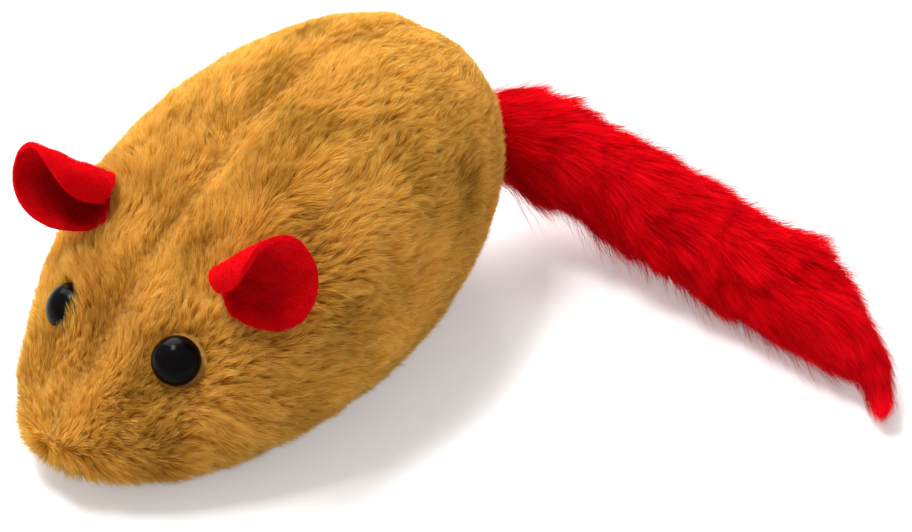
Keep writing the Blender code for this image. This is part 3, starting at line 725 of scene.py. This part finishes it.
def tail_core_radius(place, total):
    """The hide under the pile: thin at the root, full along the limb, and closed before the tail's end."""
    full = 0.0059 + 0.0006 * np.sin(np.clip(place / total, 0, 1) * math.pi)
    start = np.clip(place / 0.006, 0, 1)
    end = np.clip((total - TAIL_BARE_END - place) / TAIL_TAPER, 0, 1)
    return full * (0.72 + 0.28 * np.sin(start * math.pi / 2)) * np.sin(end * math.pi / 2) ** 0.90


def make_tail(curve, ground, material):
    rng = np.random.default_rng(29)
    total = curve[1][-1]
    front, middle, tip = (length_at(curve, name) for name in ("tail_front", "tail_middle", "tail_tip"))
    edges = [TAIL_HIDE_START, front / 2 + 0.002, (front + middle) / 2, (middle + tip) / 2, total]
    names = ("root", "front", "middle", "tip")
    hides, piles = [], []

    count = TAIL_STRANDS
    lengths_along = rng.uniform(TAIL_PILE_START, total - TAIL_BARE_END - 0.0002, count)
    turns = rng.uniform(0, 2 * math.pi, count)
    place, along, level, upright = tail_at(curve, lengths_along)
    outward = np.cos(turns)[:, None] * level + np.sin(turns)[:, None] * upright
    radius = tail_core_radius(lengths_along, total)
    place = place + np.minimum(lengths_along, 0)[:, None] * along
    roots = place + outward * np.maximum(radius - 0.0003, 0.0001)[:, None]
    wisp = nearest(roots, roots[rng.choice(count, TAIL_WISPS, replace=False)])
    lock = nearest(roots, roots[rng.choice(count, TAIL_LOCKS, replace=False)])
    wisp_noise = rng.normal(size=(TAIL_WISPS, 4))[wisp]
    lock_noise = rng.normal(size=(TAIL_LOCKS, 4))[lock]
    across = np.cross(along, outward)
    swirl = 0.07 * wisp_noise[:, 0] + 0.10 * lock_noise[:, 0] + 0.05 * rng.normal(size=count)
    swirl += 0.14 * smooth_noise(roots, 0.016, rng)
    combs = along * np.cos(swirl)[:, None] + across * np.sin(swirl)[:, None]
    combs[:, 2] -= 0.12
    combs -= (combs * outward).sum(1, keepdims=True) * outward
    combs = normalised(combs)
    ending = np.clip(1 - (total - TAIL_BARE_END - lengths_along) / TAIL_TAPER, 0, 1)
    stray = rng.random(count) < TAIL_STRAY_SHARE
    lengths = TAIL_PILE_LENGTH * rng.uniform(0.75, 1.15, count) * (1 + 0.10 * smooth_noise(roots, 0.012, rng))
    lengths *= (1 + 0.08 * lock_noise[:, 1]) * (1 - 0.10 * ending) * (1 + 0.12 * stray)
    leans = TAIL_PILE_LEAN + 2.5 * lock_noise[:, 2] + 3.0 * wisp_noise[:, 2] + 3.5 * rng.normal(size=count)
    leans -= rng.uniform(4.0, 30.0, count) * stray
    leans += 14.0 * ending**0.5 - 2.0
    leans = np.radians(leans)
    strands = strand_points(roots, outward, combs, lengths, leans, 3, (0.70, 1.05))
    for step in (1, 2, 3):
        core = tail_at(curve, lengths_along + lengths * step / 3)[0]
        drawn_in = (0.20 * step * ending**1.2)[:, None]
        strands[:, step] += drawn_in * (core - strands[:, step])
    loose = stray[:, None, None]
    pull = pulls((0.0, 0.15, 0.45, 0.75), 0.4, TAIL_WISPS, rng)[wisp]
    strands = gathered(strands, wisp, TAIL_WISPS, pull * (1 - 0.8 * loose))
    pull = pulls((0.0, 0.02, 0.08, 0.18), 0.0, TAIL_LOCKS, rng)[lock]
    strands = gathered(strands, lock, TAIL_LOCKS, pull * (1 - loose))
    strands[:, :, 2] = np.maximum(strands[:, :, 2], FLOOR_CLEARANCE + 0.0006 * rng.random((count, 1)))
    tones = 0.52 + 0.07 * wisp_noise[:, 3] + 0.05 * lock_noise[:, 3] + 0.09 * rng.normal(size=count)
    tones = np.clip(tones - 0.42 * stray, 0, 1)
    widths = rng.uniform(*TAIL_PILE_WIDTH, count) * (1 - 0.30 * stray)
    twists = rng.normal(0, 0.6, count)

    for name, start, end in zip(names, edges[:-1], edges[1:]):
        zone = (lengths_along >= start) & (lengths_along < end)
        kept = [values[zone] for values in (strands, widths, tones, twists, outward)]
        piles.append(strand_mesh(f"tail_{name}_pile", *kept, material))
        steps = np.linspace(start, min(end, total - TAIL_BARE_END), 30)
        spots, ways, levels, uprights = tail_at(curve, np.clip(steps, 0, total))
        spots = spots + np.minimum(steps, 0)[:, None] * ways
        angles = np.linspace(0, 2 * math.pi, 28, endpoint=False)[:, None]
        rings = []
        for i, step in enumerate(steps):
            ring_radius = max(float(tail_core_radius(max(step, 0.0), total)), 0.0003)
            rings.append(spots[i] + ring_radius * (np.cos(angles) * levels[i] + np.sin(angles) * uprights[i]))
        hides.append(ring_mesh(f"tail_{name}_hide", rings, ground))
    return hides, piles


def ring_mesh(name, rings, material):
    """A closed skin through rings of points, with a fan at each end."""
    bm = bmesh.new()
    made = [[bm.verts.new(p) for p in ring] for ring in rings]
    for a, b in zip(made, made[1:]):
        for i in range(len(a)):
            j = (i + 1) % len(a)
            bm.faces.new((a[i], a[j], b[j], b[i]))
    for ring, flip in ((made[0], True), (made[-1], False)):
        middle = bm.verts.new(sum((v.co for v in ring), Vector()) / len(ring))
        for i in range(len(ring)):
            j = (i + 1) % len(ring)
            bm.faces.new((ring[j], ring[i], middle) if flip else (ring[i], ring[j], middle))
    bmesh.ops.recalc_face_normals(bm, faces=bm.faces)
    mesh = mesh_of(bm, name)
    mesh.shade_smooth()
    return object_of(mesh, material)


# Ears


def ear_rays(ear, limit, steps=600):
    """The way out from the apex of the cone at each angle of the flat felt, once it is curled."""
    angles = np.linspace(-limit, limit, steps)
    step = angles[1] - angles[0]
    rays = np.zeros((steps, 3))
    for sense in (1, -1):
        ray, along = np.array((1.0, 0, 0)), np.array((0, 1.0, 0))
        i = steps // 2
        while 0 <= i < steps:
            rays[i] = ray
            onset = 1 / (1 + math.exp(-(angles[i] - ear.curl_start) / ear.curl_softness))
            curl = ear.open_curl + (ear.tight_curl - ear.open_curl) * onset
            across = np.cross(ray, along)
            ray, along = ray + sense * step * along, along + sense * step * (curl * across - ray)
            ray = ray / np.linalg.norm(ray)
            along = along - (along @ ray) * ray
            along = along / np.linalg.norm(along)
            i += sense
    return angles, rays


def ear_span(ear, angle):
    """Where the felt starts and ends along the ray at an angle."""
    centre = ear.apex_depth + EAR_TALL
    bend = (math.cos(angle) / EAR_TALL) ** 2 + (math.sin(angle) / EAR_WIDE) ** 2
    slope = centre * math.cos(angle) / EAR_TALL**2
    root = math.sqrt(max(slope**2 - bend * ((centre / EAR_TALL) ** 2 - 1), 0.0))
    near, far = (slope - root) / bend, (slope + root) / bend
    rolled = 1 / (1 + math.exp(-angle / EAR_TRIM_SOFTNESS))
    cut = ear.apex_depth + ear.base_cut - ear.tuck + (ear.tuck + ear.trim) * rolled
    return min(max(near, cut / math.cos(angle)), far), far


def skin_height(points):
    """About how far points lie off the body's skin, and the way out from it."""

    def level(spots):
        lengthwise = np.clip(spots[:, 1] / (BODY_LENGTH / 2), -0.999, 0.999)
        along = (1 + lengthwise) / 2
        spread = np.sqrt(1 - lengthwise**2)
        rise = BODY_HEIGHT * swell(RISE_SHARES, along)
        drop = BODY_HEIGHT * swell(DROP_SHARES, along)
        middle = MIDLINE_START + MIDLINE_RISE * along + spread * (rise - drop) / 2
        power = 2 / SECTION_POWER
        across = np.abs(spots[:, 0]) / (spread * BODY_HALF_WIDTH * swell(WIDTH_SHARES, along))
        upward = np.abs(spots[:, 2] - middle) / (spread * (rise + drop) / 2)
        return (across**power + upward**power) ** (1 / power)

    value = level(points)
    step = 1e-5
    slope = np.stack([(level(points + step * axis) - value) / step for axis in np.eye(3)], axis=1)
    steep = np.linalg.norm(slope, axis=1)
    return (value - 1) / steep, slope / steep[:, None]


def laid_on_pile(points, ear):
    """The felt's lower side, lifted so that it lies on the pile and comes down to the skin at its seat."""
    heights, outward = skin_height(points)
    apart = np.linalg.norm(points - np.array(ear.seat), axis=1)
    wanted = ear.rest_height * np.clip((apart - 0.0015) / 0.005, 0.12, 1)
    lift = EAR_LIFT_SOFTNESS * np.logaddexp(0, (wanted - heights) / EAR_LIFT_SOFTNESS)
    lift = lift * np.clip(1 - (heights - wanted) / 0.003, 0, 1)
    steer = np.array(VIEW_BACK)
    return points + steer * (lift / np.maximum(outward @ steer, 0.4))[:, None]


def ear_grid(ear, across=90, outwards=30):
    """The middle surface of the felt, as rows of points from its base out to its edge."""
    tip = ear.tip.normalized()
    face = (ear.face - ear.face.dot(tip) * tip).normalized()
    upward = ear.side * face.cross(tip)
    ratio = (1 + ear.apex_depth / EAR_TALL) ** 2 - 1
    limit = 0.995 * math.atan(EAR_WIDE / EAR_TALL / math.sqrt(ratio))
    angles, rays = ear_rays(ear, limit)
    apex = ear.base - (ear.apex_depth + ear.base_cut) * tip
    grid = np.zeros((across, outwards, 3))
    for i in range(across):
        u = -1 + 2 * i / (across - 1)
        angle = limit * (u + math.sin(u * math.pi / 2)) / 2
        ray = Vector([float(np.interp(angle, angles, rays[:, k])) for k in range(3)])
        near, far = ear_span(ear, angle)
        for j in range(outwards):
            out = near + (far - near) * j / (outwards - 1)
            grid[i, j] = apex + out * (ray.x * tip + ray.y * upward + ray.z * face)
    return laid_on_pile(grid.reshape(-1, 3), ear).reshape(grid.shape)


def note_hollows(mesh):
    """How far each place of a sheet is shut in by the rest of it, kept as an attribute of its points, from
    which the felt's colour takes its painted shade.
    """
    tree = BVHTree.FromPolygons([v.co for v in mesh.vertices], [p.vertices for p in mesh.polygons])
    ways = [Vector(way) for way in normalised(np.random.default_rng(41).normal(size=(28, 3)))]
    shares = []
    for vert in mesh.vertices:
        met = 0
        for way in ways:
            if way.dot(vert.normal) < 0:
                way = -way
            met += tree.ray_cast(vert.co + 0.0003 * vert.normal, way, 0.012)[0] is not None
        shares.append(met / len(ways))
    mesh.attributes.new("shut_in", "FLOAT", "POINT").data.foreach_set("value", shares)


def make_ear(side_name, material, fuzz_material):
    """One felt ear with its thickness and rounded edge, and the fuzz over it."""
    ear = EARS[side_name]
    name = f"{side_name}_ear_felt"
    rng = np.random.default_rng(5 if ear.side > 0 else 6)
    grid = ear_grid(ear)
    across, outwards, _ = grid.shape
    points = grid.reshape(-1, 3)
    wave = 0.00010 * smooth_noise(points, 0.006, rng)
    bm = bmesh.new()
    verts = [bm.verts.new(p) for p in points]
    for i in range(across - 1):
        for j in range(outwards - 1):
            a = i * outwards + j
            bm.faces.new((verts[a], verts[a + outwards], verts[a + outwards + 1], verts[a + 1]))
    bmesh.ops.remove_doubles(bm, verts=bm.verts, dist=0.00004)
    bmesh.ops.recalc_face_normals(bm, faces=bm.faces)
    bm.normal_update()
    tree = tree_of(points)
    for vert in bm.verts:
        vert.co += vert.normal * wave[tree.find(vert.co)[1]]
    mesh = mesh_of(bm, name)
    obj = object_of(mesh, material)
    thick = obj.modifiers.new("felt", "SOLIDIFY")
    thick.thickness = FELT
    thick.offset = 0
    thick.use_even_offset = False
    round_edge = obj.modifiers.new("edge", "BEVEL")
    round_edge.width = FELT_EDGE_ROUND
    round_edge.segments = 3
    round_edge.limit_method = "ANGLE"
    round_edge.angle_limit = math.radians(50)
    bpy.context.view_layer.update()
    graph = bpy.context.evaluated_depsgraph_get()
    solid = bpy.data.meshes.new_from_object(obj.evaluated_get(graph))
    obj.modifiers.clear()
    obj.data = solid
    solid.shade_smooth()
    bpy.data.meshes.remove(mesh)
    solid.name = name
    note_hollows(solid)
    fuzz = make_fuzz(f"{side_name}_ear_fuzz", solid, fuzz_material, rng, 14000)
    return obj, fuzz


def make_fuzz(name, mesh, material, rng, count):
    """Loose ends of wool over a felt surface."""
    mesh.calc_loop_triangles()
    corners = np.empty(len(mesh.vertices) * 3, np.float32)
    mesh.vertices.foreach_get("co", corners)
    corners = corners.reshape(-1, 3).astype(float)
    tris = np.empty(len(mesh.loop_triangles) * 3, np.int32)
    mesh.loop_triangles.foreach_get("vertices", tris)
    tris = corners[tris.reshape(-1, 3)]
    crossed = np.cross(tris[:, 1] - tris[:, 0], tris[:, 2] - tris[:, 0])
    area = np.linalg.norm(crossed, axis=1)
    pick = rng.choice(len(tris), count, p=area / area.sum())
    u, v = rng.random(count), rng.random(count)
    flip = u + v > 1
    u[flip], v[flip] = 1 - u[flip], 1 - v[flip]
    chosen = tris[pick]
    first, second = chosen[:, 1] - chosen[:, 0], chosen[:, 2] - chosen[:, 0]
    roots = chosen[:, 0] + u[:, None] * first + v[:, None] * second
    normals = normalised(crossed[pick])
    sideways = rng.normal(size=(count, 3))
    sideways -= (sideways * normals).sum(1, keepdims=True) * normals
    combs = normalised(sideways)
    lengths = rng.uniform(0.0003, 0.0008, count)
    leans = np.radians(rng.uniform(45, 88, count))
    strands = strand_points(roots, normals, combs, lengths, leans, 2)
    tones, twists = rng.uniform(0.3, 0.75, count), rng.uniform(-1, 1, count)
    return strand_mesh(name, strands, np.full(count, 0.00006), tones, twists, normals, material)


# Eyes


def make_eye(side_name, material):
    """A domed button on its shank, turned about the axis that it looks along."""
    eye = EYES[side_name]
    profile = []
    for angle in np.linspace(0.0, math.pi / 2, 24):
        profile.append((EYE_RADIUS * math.sin(angle), EYE_RIM + EYE_DOME * math.cos(angle)))
    profile += [
        (EYE_RADIUS, EYE_CORNER),
        (EYE_RADIUS - 0.3 * EYE_CORNER, 0.3 * EYE_CORNER),
        (EYE_RADIUS - EYE_CORNER, 0.0),
        (SHANK_RADIUS + EYE_CORNER, 0.0),
        (SHANK_RADIUS, -EYE_CORNER),
        (SHANK_RADIUS, EYE_CORNER - SHANK_LENGTH),
        (SHANK_RADIUS - EYE_CORNER, -SHANK_LENGTH),
        (0.0, -SHANK_LENGTH),
    ]
    bm = bmesh.new()
    verts = [bm.verts.new((radius, 0.0, height)) for radius, height in profile]
    edges = [bm.edges.new(pair) for pair in zip(verts, verts[1:])]
    bmesh.ops.spin(
        bm, geom=verts + edges, cent=(0, 0, 0), axis=(0, 0, 1), angle=2 * math.pi, steps=72, use_merge=True
    )
    bmesh.ops.remove_doubles(bm, verts=bm.verts, dist=1e-6)
    bmesh.ops.recalc_face_normals(bm, faces=bm.faces)
    turn = eye.axis.to_track_quat("Z", "Y").to_matrix().to_4x4()
    bm.transform(Matrix.Translation(eye.seat + (EYE_LIFT - BURIED_EYE_DROP * eye.buried) * eye.axis) @ turn)
    mesh = mesh_of(bm, f"{side_name}_eye_button")
    mesh.shade_smooth()
    return object_of(mesh, material)


# Inside


def copy_of(node, name, material, divide=0, relief=0.0, seed=0):
    """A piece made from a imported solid: finer, and with a soft relief drawn inwards."""
    mesh = NODES[node].data.copy()
    mesh.name = name
    bm = bmesh.new()
    bm.from_mesh(mesh)
    bmesh.ops.remove_doubles(bm, verts=bm.verts, dist=1e-6)
    if divide:
        bmesh.ops.subdivide_edges(bm, edges=bm.edges, cuts=divide, use_grid_fill=True)
    bm.normal_update()
    if relief:
        points = np.array([v.co for v in bm.verts])
        depth = smooth_noise(points, 0.004, np.random.default_rng(seed))
        for vert, share in zip(bm.verts, depth):
            vert.co -= vert.normal * relief * (0.5 + 0.5 * math.tanh(share))
    bm.to_mesh(mesh)
    bm.free()
    mesh.shade_smooth()
    mesh.materials.clear()
    return object_of(mesh, material)


# Studio

WORLD_LEVEL = 0.40
FLOOR_GREY = 0.86
FLOOR_GLOW = 0.36
LAMP_TARGET = Vector((0.02, 0.01, 0.02))


def make_camera():
    level = Vector((math.cos(CAMERA_AZIMUTH), math.sin(CAMERA_AZIMUTH), 0.0))
    right = math.cos(CAMERA_ROLL) * level + math.sin(CAMERA_ROLL) * VIEW_BACK.cross(level)
    up = VIEW_BACK.cross(right)
    data = bpy.data.cameras.new("camera")
    data.sensor_width = SENSOR
    data.lens = SENSOR * FOCAL_PIXELS / IMAGE_WIDTH
    data.clip_start = 0.01
    data.clip_end = 50.0
    camera = bpy.data.objects.new("camera", data)
    rotation = Matrix((right, up, VIEW_BACK)).transposed().to_4x4()
    camera.matrix_world = Matrix.Translation(CAMERA_TARGET + VIEW_BACK * CAMERA_DISTANCE) @ rotation
    SCENE.collection.objects.link(camera)
    SCENE.camera = camera


def area_light(name, place, size, power):
    data = bpy.data.lights.new(name, "AREA")
    data.shape = "RECTANGLE"
    data.size, data.size_y = size
    data.energy = power
    light = bpy.data.objects.new(name, data)
    light.location = place
    light.rotation_mode = "QUATERNION"
    light.rotation_quaternion = (LAMP_TARGET - Vector(place)).to_track_quat("-Z", "Y")
    SCENE.collection.objects.link(light)


def make_world():
    """Plain soft light all round, seen as white."""
    world = bpy.data.worlds.new("studio")
    world.use_nodes = True
    tree = world.node_tree
    plain = tree.nodes["Background"]
    plain.inputs["Color"].default_value = (1.0, 1.0, 1.0, 1.0)
    plain.inputs["Strength"].default_value = WORLD_LEVEL
    white = tree.nodes.new("ShaderNodeBackground")
    white.inputs["Strength"].default_value = 1.0
    path = tree.nodes.new("ShaderNodeLightPath")
    seen = path.outputs["Is Camera Ray"]
    for ray in ("Is Glossy Ray", "Is Transmission Ray"):
        either = tree.nodes.new("ShaderNodeMath")
        either.operation = "MAXIMUM"
        tree.links.new(seen, either.inputs[0])
        tree.links.new(path.outputs[ray], either.inputs[1])
        seen = either.outputs[0]
    both = tree.nodes.new("ShaderNodeMixShader")
    tree.links.new(seen, both.inputs[0])
    tree.links.new(plain.outputs[0], both.inputs[1])
    tree.links.new(white.outputs[0], both.inputs[2])
    tree.links.new(both.outputs[0], tree.nodes["World Output"].inputs["Surface"])
    SCENE.world = world


def make_studio():
    """The lamps and the pale paper floor."""
    area_light("soft_above", (-0.66, 0.26, 0.90), (0.9, 0.9), 16.5)
    area_light("key", (-0.26, -0.20, 1.07), (0.36, 0.22), 7.6)

    paper = Nodes("floor_paper")
    grey, white = (FLOOR_GREY, FLOOR_GREY, FLOOR_GREY, 1.0), (1.0, 1.0, 1.0, 1.0)
    paper.set(Roughness=0.95, Base_Color=grey, Specular_IOR_Level=0.0, Emission_Color=white)
    paper.bump(paper.noise(900.0), 0.02, 0.0001)
    path = paper.add("ShaderNodeLightPath")
    glow = paper.add("ShaderNodeMath", operation="MULTIPLY")
    glow.inputs[1].default_value = FLOOR_GLOW
    paper.join(path.outputs["Is Camera Ray"], glow.inputs[0])
    paper.join(glow.outputs[0], paper.shader.inputs["Emission Strength"])
    bm = bmesh.new()
    bmesh.ops.create_grid(bm, x_segments=8, y_segments=8, size=6.0)
    floor = object_of(mesh_of(bm, "floor"), paper.material)


# Putting it together


def dress_inside():
    dark, light = (0.62, 0.62, 0.59), (0.86, 0.86, 0.84)
    fibre = plain_material("fill_fibre", dark, light, (0.85, 1.0), 700.0, 0.8, 0.0006, Sheen_Weight=0.4)
    for node in ("head_filling", "back_filling", "rump_filling", "belly_filling"):
        wad = copy_of(node, f"{node}_wad", fibre, 1, 0.0004, len(node))
        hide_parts(node)
        if node == "belly_filling":
            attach(wad, "belly")
            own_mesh(wad)
        else:
            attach(wad, "back")
    soft = plain_material(
        "bellows_vinyl", (0.56, 0.60, 0.64), (0.70, 0.73, 0.76), (0.32, 0.48), 160.0, 0.1, 0.0001
    )
    bellows = copy_of("squeaker_bellows", "bellows_skin", soft)
    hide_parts("squeaker_bellows")
    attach(bellows, "belly")
    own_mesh(bellows)
    moulded = plain_material(
        "moulded_natural", (0.66, 0.66, 0.61), (0.76, 0.76, 0.71), (0.38, 0.55), 420.0, 0.08, 0.00005
    )
    for node in ("reed_holder", "reed_clamp", "reed_tongue", "left_eye_washer", "right_eye_washer"):
        set_material(NODES[node], moulded)


def dress():
    ground = plain_material(
        "plush_ground", (0.40, 0.18, 0.028), (0.55, 0.27, 0.045), (0.9, 1.0), 1500.0, 0.5, 0.0002
    )
    red_ground = plain_material(
        "tail_ground", (0.32, 0.001, 0.004), (0.48, 0.002, 0.006), (0.85, 1.0), 1500.0, 0.5, 0.0002
    )
    gold = pile_material(
        "gold_pile",
        ((0.50, 0.195, 0.010), (0.86, 0.465, 0.042), (0.96, 0.70, 0.19)),
        (0.60, 0.50, 0.28),
        (1.12, 1.24, 1.60),
        roughness=0.8,
        shine=0.10,
        through=0.45,
    )
    red = pile_material(
        "red_pile",
        ((0.62, 0.0010, 0.006), (0.92, 0.0018, 0.011), (0.99, 0.004, 0.018)),
        (0.55, 0.5, 0.5),
        (1.1, 1.5, 1.3),
        roughness=0.7,
        shine=0.03,
        through=0.45,
    )
    wool = pile_material(
        "felt_fuzz",
        ((0.60, 0.001, 0.005), (0.72, 0.002, 0.008), (0.84, 0.008, 0.014)),
        (0.8, 0.8, 0.8),
        (1.1, 1.5, 1.3),
        roughness=0.95,
        shine=0.02,
        through=0.5,
    )
    felt = felt_material()
    dark, light = (0.0020, 0.0016, 0.0015), (0.0032, 0.0026, 0.0024)
    eye = plain_material(
        "eye_plastic", dark, light, (0.15, 0.19), 900.0, 0.004, 0.00001, Specular_IOR_Level=0.045
    )

    skin = make_base_skin(ground)
    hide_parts("left_side_panel", "right_side_panel", "belly_panel")
    for piece in (skin, *make_body_pile(gold)):
        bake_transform(piece)

    curve = tail_curve()
    hides, piles = make_tail(curve, red_ground, red)
    bodies = ("back", "tail_root", "tail_front", "tail_middle", "tail_tip")
    for hide, pile, first, second in zip(hides, piles, bodies, bodies[1:]):
        along = tail_at(curve, np.array([length_at(curve, second)]))[1][0]
        for piece in (hide, pile):
            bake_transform(piece)
        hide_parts(second)

    for side_name in EARS:
        ear, fuzz = make_ear(side_name, felt, wool)
        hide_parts(f"{side_name}_ear")
        for piece in (ear, fuzz):
            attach(piece, f"{side_name}_ear")
        button = make_eye(side_name, eye)
        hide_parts(f"{side_name}_eye")
        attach(button, "back")
    dress_inside()


dress()
make_camera()
make_world()
make_studio()
SCENE.view_settings.view_transform = "Standard"

bpy.context.view_layer.update()
